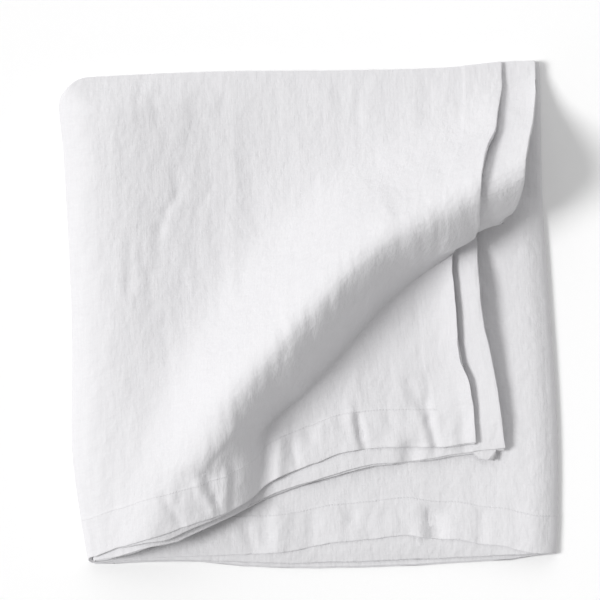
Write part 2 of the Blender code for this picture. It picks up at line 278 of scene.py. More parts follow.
def hump(run, cross):
    """The hump's height at each place along the ridge and across it, and the way past its foot."""
    past_crest = cross - smooth(run, RIDGE, "crest")
    fall = smooth(run, RIDGE, "fall")
    before = np.clip(-past_crest / smooth(run, RIDGE, "climb"), 0, None)
    after = np.clip(past_crest / fall, 0, None)
    climb = np.exp(-((before / CLIMB_SHAPE) ** 2))
    swell = np.cos(np.clip(before / SWELL_REACH, 0, 1) * math.pi / 2) ** 2
    rising = (1 - SWELL) * climb + SWELL * swell
    drop = after ** smooth(run, RIDGE, "belly")
    falling = FOOT_SOFTNESS * np.logaddexp(0, (1 - drop) / FOOT_SOFTNESS)
    height = smooth(run, RIDGE, "height") * np.where(past_crest < 0, rising, falling)
    return height, np.clip(past_crest - fall, 0, None)


def left_draw(across, along):
    """How far the drawn-in front left corner moves a point to the right."""
    near = ease((LOFT_REACH - (across - LEFT_FOLD)) / LOFT_REACH)
    return near * smooth(along, LEFT_INSET, "inwards")


def loft(across, along):
    """How far the layers are spread at a point, 1 at the packet's edges."""
    inwards = np.minimum(across - LEFT_FOLD, smooth(across, BACK_FOLD, "place") - along)
    return 1 + LOFT * ease(inwards / LOFT_REACH) * ease((B_END - across) / LOFT_REACH + LOFT_AT_B_END)


def thread(across):
    """A thread of the upper half that starts at `across` on the back fold, as it goes over the hump."""
    cosine, sine = math.cos(RIDGE_ANGLE), math.sin(RIDGE_ANGLE)
    cross = across * sine - cosine * np.linspace(THREAD_BACK, THREAD_FRONT, THREAD_STEPS)
    flat_run = across / cosine - cross * sine / cosine
    run = flat_run
    for _ in range(RUN_ROUNDS):
        height, beyond = hump(run, cross)
        taken = np.cumsum(np.hypot(1, np.gradient(height, cross)) - 1)
        run = flat_run - smooth(across, PUSH, "back") * taken / taken[-1] + BLOCK_TURN * beyond
    sideways = run * cosine + cross * sine
    along = run * sine - cross * cosine
    return np.stack([sideways + left_draw(sideways, along), along, height], axis=-1)


def threads(across):
    """The threads that start at those places, each point followed by the cloth's unit normal there."""
    points = np.stack([thread(place) for place in across])
    normals = np.cross(np.gradient(points, axis=0), np.gradient(points, axis=1))
    normals = unit(normals)
    normals *= np.sign(normals[:, :1, 2:])
    return np.concatenate([points, normals], axis=-1)


def waver(at, rows):
    """The small unevenness of the edge that a table describes; its number of rows serves as the seed."""
    long_waves = rumple(at, 0 * at, (WAVER_LONG, 1), len(rows))
    short_waves = rumple(at, 0 * at, (WAVER_SHORT, 1), len(rows) + 1)
    return HEM_WAVER * (long_waves + WAVER_SHORT_SHARE * short_waves)


def cut(line, hem, layer):
    """The part of a thread between the back fold and a layer's hem."""
    back = line[:, 1] - smooth(line[:, 0], BACK_FOLD, "place") + LAYER_PITCH
    front = line[:, 1] - smooth(line[:, 0], hem, layer) - waver(line[:, 0], hem)
    index = np.arange(len(line))
    first = np.interp(0, -back, index)
    last = np.interp(0, -front, index)
    wanted = np.append(np.append(first, index[(index > first) & (index < last)]), last)
    return np.stack([np.interp(wanted, index, value) for value in line.T], axis=1)


def spaced(line, main_rows, marks, bend_weight):
    """Points of a line: main_rows even steps, closer where it bends, then one at each mark before its hem."""
    steps = np.diff(line[:, :3], axis=0)
    length = np.linalg.norm(steps, axis=1)
    heading = steps / length[:, None]
    bend = np.linalg.norm(np.diff(heading, axis=0, append=heading[-1:]), axis=1)
    run = np.append(0, np.cumsum(length))
    weighted = np.append(0, np.cumsum(length + bend_weight * bend))
    main_end = np.interp(run[-1] - marks[-1], run, weighted)
    main = np.interp(np.linspace(0, main_end, main_rows + 1), weighted, run)
    wanted = np.append(main[:-1], run[-1] - np.array(marks[::-1]))
    return np.stack([np.interp(wanted, run, value) for value in line.T], axis=1)


def level(layers, spread=1.0):
    """Height of a level that is counted in layers."""
    return FIRST_LEVEL_HEIGHT + layers * LAYER_PITCH * spread


def upper_panel(lines, hem, side, layer):
    """Panel A (side 1) or B (side -1): a net of points, each with the way from there to the outer layer."""
    net = np.stack([spaced(cut(line, hem, layer), *LAYER_ROWS[layer]) for line in lines])
    middle, normals = net[..., :3], unit(net[..., 3:])
    spread = loft(middle[..., 0], middle[..., 1])
    middle[..., 2] += level(LEVEL_UPPER, spread)
    pitch = side * LAYER_PITCH * spread[..., None] * normals
    return np.concatenate([middle + pitch, pitch / 2], axis=-1)


def lower_panel(across, hem, side, layer):
    """Panel C (side 1) or D (side -1), as a net like that of the upper ones."""
    top = smooth(across, BACK_FOLD, "place") - LAYER_PITCH
    length = top - smooth(across, hem, layer) - waver(across, hem)
    main_rows, marks, _ = LAYER_ROWS[layer]
    shares = np.arange(main_rows) / main_rows
    main = shares * (length[:, None] - marks[-1])
    down = np.concatenate([main, length[:, None] - np.array(marks[::-1])], axis=1)
    along = top[:, None] - down
    wide = np.broadcast_to(across[:, None], along.shape)
    bow = smooth(along, RIGHT_FOLD, "place") - RIGHT_FOLD_CREST - across[-1]
    sideways = wide + left_draw(wide, along) + ease(wide / across[-1]) * bow
    spread = loft(wide, along) if side > 0 else np.ones_like(along)
    height = level(LEVEL_LOWER + side, spread)
    none = np.zeros_like(along)
    return np.stack([sideways, along, height, none, none, side * LAYER_PITCH / 2 * spread], axis=-1)


def turn(start, end, reach, outwards, steps):
    """The columns of a round fold from one panel's edge to the next."""
    middle = (start + end) / 2
    half = (start - end) / 2
    bulge = np.array([reach, 0, 0, outwards, 0, 0])
    angles = [math.pi * step / steps for step in range(1, steps)]
    return np.stack([middle + math.cos(a) * half + math.sin(a) * bulge for a in angles])


def round_corner(points):
    """Rounds the packet's back left corner."""
    out = np.clip((LEFT_FOLD - points[..., 0]) / CORNER_SIDE + 1, 0, 1)
    back = np.clip((points[..., 1] - BACK_FOLD[0].place) / CORNER_SIDE + 1, 0, 1)
    points[..., 0] += CORNER_SIDE * out * (1 - np.sqrt(1 - CORNER_FULLNESS * back**2))
    points[..., 1] -= CORNER_SIDE * back * (1 - np.sqrt(1 - CORNER_FULLNESS * out**2))


def places(start, end, count, marks=()):
    """Places across a panel: count even steps, then one at each mark before its end."""
    if not marks:
        return np.linspace(start, end, count + 1)
    return np.append(np.linspace(start, end - marks[-1], count + 1)[:-1], end - np.array(marks[::-1]))


Strip = namedtuple("Strip", "middle offset panel across end_gap hem_gap")
PANEL_A, PANEL_B, PANEL_C, PANEL_D, A_TO_D, D_TO_C, C_TO_B = range(7)


def strip(layer):
    """The doubled cloth from the end of A to the end of B, with what each column is and where."""
    left = LEFT_FOLD + level(LAST_LEVEL) / 2
    at_a = places(left, A_END, A_COLUMNS, HEM_MARKS)
    at_b = np.append(places(left, B_COVERED, B_COVERED_COLUMNS)[:-1], places(B_COVERED, B_END, B_COLUMNS, HEM_MARKS))
    at_c = places(left, B_END - RIGHT_FOLD_CREST, C_COLUMNS)
    at_d = places(left, B_END - RIGHT_FOLD_CREST, D_COLUMNS)
    a = upper_panel(threads(at_a), HEM_A, 1, layer)[::-1]
    b = upper_panel(threads(at_b), HEM_B, -1, layer)
    c = lower_panel(at_c, HEM_C, 1, layer)[::-1]
    d = lower_panel(at_d, HEM_D, -1, layer)
    outer = turn(a[-1], d[0], -level(LAST_LEVEL) / 2, -LAYER_PITCH / 2, FOLD_STEPS)
    right = turn(d[-1], c[0], RIGHT_FOLD_CREST, RIGHT_FOLD_GAP / 2, FOLD_STEPS)
    inner = turn(c[-1], b[0], -LAYER_PITCH, LAYER_PITCH / 2, FOLD_STEPS)
    columns = np.concatenate([a, outer, d, right, c, inner, b])
    round_corner(columns)
    kinds = ((PANEL_A, at_a), (A_TO_D, outer), (PANEL_D, at_d), (D_TO_C, right), (PANEL_C, at_c),
             (C_TO_B, inner), (PANEL_B, at_b))
    panel = np.concatenate([np.full(len(part), kind) for kind, part in kinds])
    step = np.linalg.norm(np.diff(columns[:, 0, :3], axis=0), axis=1)
    across = np.append(0, np.cumsum(step))
    end_gap = np.minimum(across, across[-1] - across)
    main_rows, marks, _ = LAYER_ROWS[layer]
    main = marks[-1] + (FLAT_SIZE[0] / 2 - marks[-1]) * (1 - np.arange(main_rows) / main_rows)
    hem_gap = np.append(main, np.array(marks[::-1]))
    return Strip(columns[..., :3], columns[..., 3:], panel, across, end_gap, hem_gap)


def layer_nets():
    """The cloth's middle surface, its unit normal on the face's side, and each point's place in the flat cloth."""
    outer, inner = strip("outer"), strip("inner")
    settle(outer, 0, HIDDEN_END_INSET)
    settle(inner, HIDDEN_END_INSET, 0)
    points = [(inner.middle - inner.offset)[:, ::-1]]
    facing = [-unit(inner.offset)[:, ::-1]]
    root, offset = outer.middle[:, 0], outer.offset[:, 0]
    back = np.array([0, LAYER_PITCH / 2, 0])
    for share in BACK_TURNS:
        turned = -math.cos(math.pi * share) * offset + math.sin(math.pi * share) * back
        points.append((root + turned)[:, None])
        facing.append(unit(turned)[:, None])
    points.append(outer.middle + outer.offset)
    facing.append(unit(outer.offset))
    gaps = np.concatenate([inner.hem_gap[::-1], np.full(len(BACK_TURNS), FLAT_SIZE[0] / 2), outer.hem_gap])
    return np.concatenate(points, axis=1), np.concatenate(facing, axis=1), outer, gaps, len(inner.hem_gap)


# Where the ends of A and B lie, as seen from above, and how far they are lifted, or sunk where it is below 0.
End = namedtuple("End", "along place lift")
END_A = (
    End(-0.150, 0.1605, 0.0028),
    End(-0.136, 0.1600, 0.0030),
    End(-0.094, 0.1580, 0.0042),
    End(-0.0755, 0.1550, 0.0052),
    End(-0.057, 0.1480, 0.0060),
    End(-0.039, 0.1460, 0.0062),
    End(0.016, 0.1440, 0.0056),
    End(0.046, 0.1430, 0.0048),
    End(0.056, 0.1440, 0.0044),
    End(0.0665, 0.1520, 0.0042),
    End(0.0704, 0.1630, 0.0041),
    End(0.0765, 0.1680, 0.0040),
    End(0.098, 0.1730, 0.0046),
    End(0.119, 0.1755, 0.0050),
    End(0.141, 0.1785, 0.0050),
    End(0.156, 0.1825, 0.0048),
    End(0.168, 0.1867, 0.0046),
    End(0.1785, 0.1930, 0.0042),
    End(0.197, 0.1970, 0.0034),
    End(0.218, 0.2010, 0.0020),
    End(0.249, 0.2024, 0.0004),
)
END_B = (
    End(-0.150, 0.1900, 0.0040),
    End(-0.138, 0.1893, 0.0060),
    End(-0.114, 0.1867, 0.0110),
    End(-0.096, 0.1846, 0.0120),
    End(-0.065, 0.1816, 0.0130),
    End(-0.033, 0.1754, 0.0160),
    End(0.015, 0.1693, 0.0180),
    End(0.050, 0.1690, 0.0120),
    End(0.066, 0.1690, 0.0060),
    End(0.076, 0.1695, 0.0030),
    End(0.0790, 0.1712, 0.0020),
    End(0.0812, 0.1765, 0.0010),
    End(0.0832, 0.1840, 0.0005),
    End(0.0855, 0.1920, 0.0000),
    End(0.0895, 0.2005, 0.0000),
    End(0.097, 0.2075, 0.0000),
    End(0.1097, 0.2136, 0.0000),
    End(0.1275, 0.2190, -0.0030),
    End(0.150, 0.2240, -0.0050),
    End(0.171, 0.2290, -0.0055),
    End(0.196, 0.2336, -0.0050),
    End(0.213, 0.2361, -0.0040),
    End(0.249, 0.2368, 0.0000),
)
END_REACH = 0.075
HIDDEN_END_INSET = 0.0009  # the lower layer of a panel ends this far inside the upper one
LIFT_REACH = 0.045
# How far B's hem hangs below A's.
Droop = namedtuple("Droop", "across down")
DROOP = (
    Droop(-0.250, 0.0000),
    Droop(-0.205, 0.0000),
    Droop(-0.175, 0.0025),
    Droop(-0.140, 0.0055),
    Droop(-0.105, 0.0060),
    Droop(-0.080, 0.0045),
    Droop(-0.058, 0.0010),
    Droop(-0.045, 0.0000),
    Droop(0.250, 0.0000),
)
DROOP_REACH = 0.055
Puff = namedtuple("Puff", "inwards height")
LEFT_PUFF = (
    Puff(0.000, 0.0),
    Puff(0.006, 0.0050),
    Puff(0.016, 0.0125),
    Puff(0.026, 0.0165),
    Puff(0.040, 0.0190),
    Puff(0.055, 0.0195),
    Puff(0.072, 0.0180),
    Puff(0.095, 0.0143),
    Puff(0.120, 0.0102),
    Puff(0.150, 0.0056),
    Puff(0.185, 0.0018),
    Puff(0.220, 0.0),
)
RIGHT_PUFF = (
    Puff(-0.010, 0.0),
    Puff(0.000, 0.0),
    Puff(0.005, 0.0034),
    Puff(0.011, 0.0062),
    Puff(0.019, 0.0074),
    Puff(0.032, 0.0066),
    Puff(0.060, 0.0030),
    Puff(0.110, 0.0),
)
RIGHT_PUFF_BACK = 0.085  # the bulge beside the right fold fades out behind this
RIGHT_PUFF_FADE = 0.030
LEFT_PUFF_FADE = 0.040  # from the back fold
LEFT_PUFF_FRONT = -0.250
LEFT_PUFF_FRONT_SHARE = 0.4  # how much of the bulge is left there
LEFT_PUFF_FRONT_REACH = 0.120

# Soft ridges (height over 0) and troughs, from start to end.
Crease = namedtuple("Crease", "start end width height")
UPPER_CREASES = (
    # The hem of A.
    Crease((0.041, -0.106), (0.043, -0.124), 0.0028, -0.0034),
    Crease((0.043, -0.124), (0.047, -0.142), 0.0032, -0.0034),
    Crease((0.034, -0.106), (0.038, -0.142), 0.0055, 0.0022),
    Crease((0.110, -0.094), (0.113, -0.112), 0.0028, -0.0026),
    Crease((0.113, -0.112), (0.119, -0.140), 0.0032, -0.0034),
    Crease((0.104, -0.108), (0.110, -0.140), 0.0055, 0.0022),
    Crease((0.146, -0.100), (0.148, -0.140), 0.0038, -0.0016),
    Crease((0.133, -0.104), (0.134, -0.138), 0.0050, 0.0012),
    Crease((0.092, -0.146), (0.088, -0.162), 0.0050, -0.0022),
    Crease((-0.012, -0.117), (-0.008, -0.128), 0.0030, -0.0018),
    Crease((0.093, -0.073), (0.106, -0.103), 0.0032, -0.0016),
    Crease((0.115, -0.067), (0.112, -0.095), 0.0035, -0.0007),
    Crease((0.021, -0.114), (0.026, -0.146), 0.0080, 0.0016),
    Crease((0.075, -0.108), (0.078, -0.135), 0.0120, 0.0010),
    Crease((-0.040, -0.128), (-0.042, -0.165), 0.0040, 0.0030),
    Crease((-0.027, -0.132), (-0.024, -0.152), 0.0035, -0.0022),
    Crease((-0.158, -0.179), (-0.142, -0.207), 0.0032, -0.0028),
    Crease((-0.123, -0.166), (-0.110, -0.192), 0.0035, 0.0032),
    Crease((-0.114, -0.158), (-0.106, -0.184), 0.0030, -0.0018),
    Crease((-0.116, -0.155), (-0.076, -0.112), 0.0030, -0.0012),
    Crease((-0.122, -0.146), (-0.092, -0.112), 0.0090, 0.0034),
    Crease((-0.106, -0.160), (-0.068, -0.122), 0.0095, -0.0036),
    Crease((-0.094, -0.156), (-0.099, -0.192), 0.0035, 0.0018),
    Crease((-0.086, -0.152), (-0.090, -0.188), 0.0035, -0.0015),
    # The flat of A.
    Crease((-0.134, 0.155), (-0.131, 0.125), 0.0035, -0.0010),
    Crease((-0.132, 0.127), (-0.146, 0.108), 0.0030, -0.0013),
    Crease((-0.146, 0.110), (-0.152, 0.090), 0.0040, -0.0010),
    Crease((-0.152, 0.092), (-0.155, 0.050), 0.0045, -0.0010),
    Crease((-0.181, 0.085), (-0.185, 0.035), 0.0040, -0.0012),
    Crease((-0.171, 0.084), (-0.172, 0.059), 0.0030, -0.0008),
    Crease((-0.164, 0.048), (-0.163, 0.015), 0.0035, -0.0009),
    Crease((-0.126, 0.078), (-0.123, 0.034), 0.0035, 0.0009),
    Crease((-0.081, 0.226), (-0.084, 0.205), 0.0030, -0.0009),
    Crease((-0.074, 0.200), (-0.079, 0.020), 0.0050, 0.0011),
    Crease((-0.113, 0.108), (-0.097, 0.135), 0.0030, -0.0008),
    Crease((-0.152, 0.224), (-0.150, 0.200), 0.0030, -0.0008),
    Crease((0.150, 0.240), (0.146, 0.180), 0.0050, 0.0006),
    # The strip of B in front of A's hem.
    Crease((0.096, -0.141), (0.091, -0.154), 0.0072, -0.0040),
)
LOWER_CREASES = (
    Crease((0.108, -0.203), (0.113, -0.214), 0.0036, -0.0026),
    Crease((0.112, -0.212), (0.114, -0.237), 0.0056, -0.0038),
    Crease((0.099, -0.208), (0.100, -0.237), 0.0070, 0.0022),
    Crease((0.124, -0.206), (0.117, -0.228), 0.0034, -0.0018),
    Crease((0.162, -0.208), (0.161, -0.244), 0.0035, -0.0022),
    Crease((0.154, -0.208), (0.153, -0.244), 0.0060, 0.0014),
    Crease((0.031, -0.202), (0.031, -0.213), 0.0030, -0.0022),
    Crease((0.076, -0.201), (0.076, -0.208), 0.0030, -0.0010),
    Crease((-0.079, -0.212), (-0.069, -0.243), 0.0032, -0.0030),
    Crease((-0.044, -0.205), (-0.045, -0.238), 0.0055, 0.0028),
    Crease((-0.058, -0.200), (-0.058, -0.225), 0.0036, -0.0022),
    Crease((-0.010, -0.205), (-0.011, -0.238), 0.0045, -0.0022),
    Crease((0.014, -0.208), (0.012, -0.230), 0.0080, 0.0010),
    Crease((0.195, -0.205), (0.198, -0.240), 0.0050, -0.0012),
    Crease((0.020, -0.237), (0.022, -0.254), 0.0030, -0.0010),
    Crease((0.107, -0.240), (0.107, -0.254), 0.0040, -0.0012),
)


DENT_REACH = 4  # in widths of the crease


def dents(across, along, creases):
    """The height that soft ridges and troughs add at each place."""
    total = np.zeros_like(across)
    for crease in creases:
        (x, y), (end_x, end_y) = crease.start, crease.end
        way_x, way_y = end_x - x, end_y - y
        share = np.clip(((across - x) * way_x + (along - y) * way_y) / (way_x**2 + way_y**2), 0, 1)
        gap = (across - x - share * way_x) ** 2 + (along - y - share * way_y) ** 2
        near = gap < (DENT_REACH * crease.width) ** 2
        total[near] += crease.height * np.exp(-gap[near] / (2 * crease.width**2))
    return total


HEADING_SPREAD = 0.22  # radians
RUMPLE_CELLS = 160


def small_creases(count, low, high, length, width, height, seed):
    """Small creases at random places between two corners, most of them along the threads."""
    draw = np.random.default_rng(seed)
    creases = []
    for _ in range(count):
        x, y = draw.uniform(low, high)
        heading = draw.normal(0, HEADING_SPREAD)
        reach = draw.uniform(*length)
        end = (x + reach * math.sin(heading), y + reach * math.cos(heading))
        creases.append(Crease((x, y), end, draw.uniform(*width), draw.uniform(-height, height)))
    return creases


def rumple(across, along, cell, seed):
    """Soft random heights, -1 to 1, in cells of that width and length."""
    heights = np.random.default_rng(seed).uniform(-1, 1, (RUMPLE_CELLS, RUMPLE_CELLS))
    a, b = across / cell[0] + RUMPLE_CELLS // 2, along / cell[1] + RUMPLE_CELLS // 2
    i, j = np.floor(a).astype(int), np.floor(b).astype(int)
    s, t = ease(a - i), ease(b - j)
    front = heights[i, j] * (1 - s) + heights[i + 1, j] * s
    back = heights[i, j + 1] * (1 - s) + heights[i + 1, j + 1] * s
    return front * (1 - t) + back * t


def right_puff(across, along):
    """How far the lower panels bulge beside their right fold."""
    right_gap = smooth(along, RIGHT_FOLD, "place") - across
    return smooth(right_gap, RIGHT_PUFF, "height") * ease((RIGHT_PUFF_BACK - along) / RIGHT_PUFF_FADE + 1)


def left_puff(across, along):
    """How far the upper panels bulge beside the left folds."""
    back_gap = smooth(across, BACK_FOLD, "place") - along
    from_front = ease((along - LEFT_PUFF_FRONT) / LEFT_PUFF_FRONT_REACH)
    ends = ease(back_gap / LEFT_PUFF_FADE) * (LEFT_PUFF_FRONT_SHARE + (1 - LEFT_PUFF_FRONT_SHARE) * from_front)
    return smooth(across - LEFT_FOLD - left_draw(across, along), LEFT_PUFF, "height") * ends


def crinkles(across, along):
    """The small unevenness of the upper panels, deepest just past the hump's crest."""
    back_gap = smooth(across, BACK_FOLD, "place") - along
    run = across * math.cos(RIDGE_ANGLE) + along * math.sin(RIDGE_ANGLE)
    cross = across * math.sin(RIDGE_ANGLE) - along * math.cos(RIDGE_ANGLE)
    past_crest = cross - smooth(run, RIDGE, "crest")
    at_crest = np.exp(-(((past_crest - CRUMPLE_PAST_CREST) / CRUMPLE_REACH) ** 2))
    sway = SWAY * rumple(across, along, SWAY_CELL, 5)
    waves = sum((kind.height + kind.at_crest * at_crest) * rumple(across + sway, along, kind.cell, kind.seed)
                for kind in CRINKLES)
    return waves * ease(back_gap / CRINKLE_FADE) + dents(across, along, UPPER_CREASES + UPPER_SMALL_CREASES)


# Crinkles are this high, and by at_crest higher just past the hump's crest.
Crinkle = namedtuple("Crinkle", "height at_crest cell seed")
CRINKLES = (
    Crinkle(0.00032, 0.00050, (0.0068, 0.030), 6),
    Crinkle(0.00060, 0.00040, (0.0180, 0.055), 7),
)
CRINKLE_FADE = 0.020  # from the back fold
CRUMPLE_PAST_CREST = 0.010
CRUMPLE_REACH = 0.022
SWAY = 0.006
SWAY_CELL = (0.070, 0.090)
UPPER_SMALL_CREASES = tuple(
    small_creases(220, (-0.24, -0.20), (0.19, 0.22), (0.010, 0.045), (0.0028, 0.0055), 0.0006, 11)
    + small_creases(40, (-0.02, -0.14), (0.17, -0.10), (0.008, 0.022), (0.0028, 0.0050), 0.0010, 13)
)
LOWER_SMALL_CREASES = tuple(
    small_creases(60, (-0.20, -0.25), (0.23, -0.10), (0.006, 0.020), (0.0030, 0.0060), 0.0006, 12)
    + small_creases(40, (-0.10, -0.245), (0.23, -0.205), (0.008, 0.022), (0.0028, 0.0050), 0.0011, 14)
)


def seen_from_above(points):
    """Where points are seen, at floor level, from CAMERA_HEIGHT above."""
    return VIEW_MIDDLE + (points[..., :2] - VIEW_MIDDLE) / (1 - points[..., 2:] / CAMERA_HEIGHT)


def place_end(net, panel, end, rows, inset):
    """Moves a panel's free end to where it lies, and the cloth near it by less and less."""
    of_panel = net.panel == panel
    edge = net.middle[end]
    seen = seen_from_above(edge)
    place = smooth(seen[:, 1], rows, "place") + waver(seen[:, 1], rows) - inset
    shift = (place - seen[:, 0]) * (1 - edge[:, 2] / CAMERA_HEIGHT)
    net.middle[of_panel, :, 0] += ease(1 - net.end_gap[of_panel] / END_REACH)[:, None] * shift


def end_lift(net, end, rows):
    """How far the lift of a panel's free end raises every point that is over it."""
    edge = net.middle[end, ::-1]
    gap = np.interp(net.middle[..., 1], edge[:, 1], edge[:, 0]) - net.middle[..., 0]
    return smooth(net.middle[..., 1], rows, "lift") * ease(1 - gap / LIFT_REACH)


def settle(net, inset_a, inset_b):
    """Moves the net to the small bulges, lifts and shifts of a cloth that lies unevenly."""
    place_end(net, PANEL_A, 0, END_A, inset_a)
    place_end(net, PANEL_B, -1, END_B, inset_b)
    middle, panel = net.middle, net.panel[:, None]
    across, along, height = middle[..., 0], middle[..., 1], middle[..., 2]
    in_upper = (panel == PANEL_A) | (panel == PANEL_B)
    in_lower = (panel == PANEL_C) | (panel == PANEL_D) | (panel == D_TO_C)
    low_share = np.clip(height / level(LEVEL_LOWER + 1), 0, 1)
    high_share = np.clip(height / level(LAST_LEVEL), 0, 1)
    below = right_puff(across, along) * np.where(in_lower, low_share, 1)
    rise = below + np.where(in_lower, 0, left_puff(across, along) * high_share)
    rise += np.where(in_upper, end_lift(net, -1, END_B), 0) + np.where(panel == PANEL_A, end_lift(net, 0, END_A), 0)
    droop = smooth(across, DROOP, "down") * ease(1 - net.hem_gap / DROOP_REACH)
    rise -= np.where(panel == PANEL_B, droop, 0)
    small = np.where(in_upper, crinkles(across, along) * high_share, 0)
    small += np.where(panel == PANEL_C, dents(across, along, LOWER_CREASES + LOWER_SMALL_CREASES), 0)
    up = unit(net.offset)
    up = np.where(in_upper[..., None], up * np.sign(up[..., 2:]), np.array([0, 0, 1.0]))
    middle += small[..., None] * up
    middle[..., 2] += rise


def closed_sheet(name, face, back):
    """A closed mesh from a face grid and a coarser back grid, which share their rim."""
    bm = bmesh.new()
    columns, rows = face.shape[:2]
    sides = []
    for stride, points in ((1, face), (BACK_STRIDE, back)):
        part = bmesh.new()
        bmesh.ops.create_grid(part, x_segments=(columns - 1) // stride, y_segments=(rows - 1) // stride, size=0.5)
        if stride > 1:
            rim = [edge for edge in part.edges if edge.is_boundary]
            bmesh.ops.subdivide_edges(part, edges=rim, cuts=stride - 1)
            bmesh.ops.reverse_faces(part, faces=part.faces)
        index = part.verts.layers.int.new("place")
        for vert in part.verts:
            column = round((vert.co.x + 0.5) * (columns - 1))
            row = round((vert.co.y + 0.5) * (rows - 1))
            vert[index] = column * rows + row
            vert.co = points[column, row]
        mesh = bpy.data.meshes.new("side")
        part.to_mesh(mesh)
        part.free()
        sides.append(mesh)
        bm.from_mesh(mesh)
    bmesh.ops.remove_doubles(bm, verts=[v for v in bm.verts if v.is_boundary], dist=1e-7)
    mesh = bpy.data.meshes.new(name)
    bm.to_mesh(mesh)
    bm.free()
    for side in sides:
        bpy.data.meshes.remove(side)
    mesh.shade_smooth()
    cloth = bpy.data.objects.new(name, mesh)
    bpy.context.scene.collection.objects.link(cloth)
    return cloth


def paint_flat_places(cloth, across, down):
    """A UV map in metres of flat cloth, (0, 0) at the middle of the end of A."""
    mesh = cloth.data
    index = np.zeros(len(mesh.vertices), int)
    mesh.attributes["place"].data.foreach_get("value", index)
    loops = np.zeros(len(mesh.loops), int)
    mesh.loops.foreach_get("vertex_index", loops)
    rows = len(down)
    across = across * FLAT_SIZE[1] / across[-1]
    places = np.stack([across[index // rows], down[index % rows]], axis=1)
    layer = mesh.uv_layers.new(name="flat cloth")
    layer.data.foreach_set("uv", places[loops].ravel())


def tablecloth():
    points, facing, outer, gaps, inner_count = layer_nets()
    points = points - np.array([*CENTRE, 0])
    rim = np.minimum(outer.end_gap[:, None], gaps[None, :])
    in_hem = 1 - ease((rim - HEM_WIDTH + HEM_STEP / 2) / HEM_STEP)
    half = HALF_THICKNESS + (HEM_HALF_THICKNESS - HALF_THICKNESS) * in_hem
    round_off = np.sqrt(1 - (1 - np.clip(rim / EDGE_ROUNDING, 0, 1)) ** 2)
    face = points + facing * (half * round_off)[..., None]
    back = points - facing * ((half + BACK_EXTRA * ease(rim / BACK_EXTRA_REACH)) * round_off)[..., None]
    cloth = closed_sheet("tablecloth_linen", face, back)
    down = FLAT_SIZE[0] / 2 - gaps
    down[:inner_count] *= -1
    paint_flat_places(cloth, outer.across, down)
    return cloth


THREAD_PITCH = 0.0009
THREAD_RELIEF = 0.00006
THREAD_DRIFT = 0.0016
CROSSING_RELIEF = 0.2  # how much higher the one set of threads stands where they cross
STITCH_GAP = 0.0385  # from the hem's edge to its row of stitches
STITCH_LENGTH = 0.0033
STITCH_RELIEF = 0.00025
STITCH_SIDE = (0.0002, 0.0007)  # a stitch fades out between these, from its row's middle
STITCH_END = (0.30, 0.42)  # and between these, from its own middle, as shares of its length
STITCH_ROW_START = 0.001
END_STITCH_SHARE = 0.3  # how strongly the stitches of the cloth's two ends show, against those of its hems
DARK_THREAD = (0.715, 0.707, 0.729, 1)
LIGHT_THREAD = (0.805, 0.800, 0.811, 1)
SLUB_TONES = (0.5, 0.35)
# painted highlight: the threads' crowns are made lighter in colour and the hollows between them darker
CROWN_PAINTED_HIGHLIGHT = 0.15
# painted shade: how much darker the cloth is made between the stitches of a row, where the thread sinks in
STITCH_PAINTED_SHADE = 0.12
Relief = namedtuple("Relief", "cell detail depth")
SLUBS_ALONG = Relief((0.0013, 0.0300), 2.0, 0.00016)
SLUBS_ACROSS = Relief((0.0360, 0.0015), 2.0, 0.00010)
CRUSH = Relief((0.0042, 0.0150), 3.0, 0.00055)
MOTTLE = Relief((0.0110, 0.0140), 3.0, 0.00150)


class Nodes:
    """Adds nodes to a material; a socket is given as a number or as another node's output."""

    def __init__(self, tree):
        self.tree = tree

    def add(self, kind, sockets, output=0, **settings):
        node = self.tree.nodes.new(kind)
        for name, value in settings.items():
            setattr(node, name, value)
        for name, value in sockets.items():
            if isinstance(value, bpy.types.NodeSocket):
                self.tree.links.new(value, node.inputs[name])
            else:
                node.inputs[name].default_value = value
        return node.outputs[output]

    def sum(self, a, b):
        return self.add("ShaderNodeMath", {0: a, 1: b}, operation="ADD")

    def less(self, a, b):
        return self.add("ShaderNodeMath", {0: a, 1: b}, operation="SUBTRACT")

    def times(self, a, b):
        return self.add("ShaderNodeMath", {0: a, 1: b}, operation="MULTIPLY")

    def lower(self, a, b):
        return self.add("ShaderNodeMath", {0: a, 1: b}, operation="MINIMUM")

    def size(self, a):
        return self.add("ShaderNodeMath", {0: a}, operation="ABSOLUTE")

    def step(self, value, low, high, start=0.0, end=1.0):
        return self.add("ShaderNodeMapRange", {"Value": value, "From Min": low, "From Max": high, "To Min": start,
                                               "To Max": end}, interpolation_type="SMOOTHSTEP")

    def uneven(self, place, cell, detail=1.0):
        """Random tones 0 to 1 in cells of that width and length."""
        stretched = self.add("ShaderNodeMapping", {"Vector": place, "Scale": (1 / cell[0], 1 / cell[1], 1)})
        return self.add("ShaderNodeTexNoise", {"Vector": stretched, "Scale": 1.0, "Detail": detail, "Roughness": 0.5})


def thread_crowns(nodes, across, along):
    """The round tops of a plain weave's threads, 0 to 1."""
    waves = [nodes.add("ShaderNodeMath", {0: nodes.times(way, math.pi / THREAD_PITCH)}, operation="SINE")
             for way in (across, along)]
    crossing = nodes.times(*waves)
    crown = nodes.add("ShaderNodeMath", {0: nodes.size(crossing), 1: 0.5}, operation="POWER")
    return nodes.sum(crown, nodes.times(crossing, CROSSING_RELIEF))


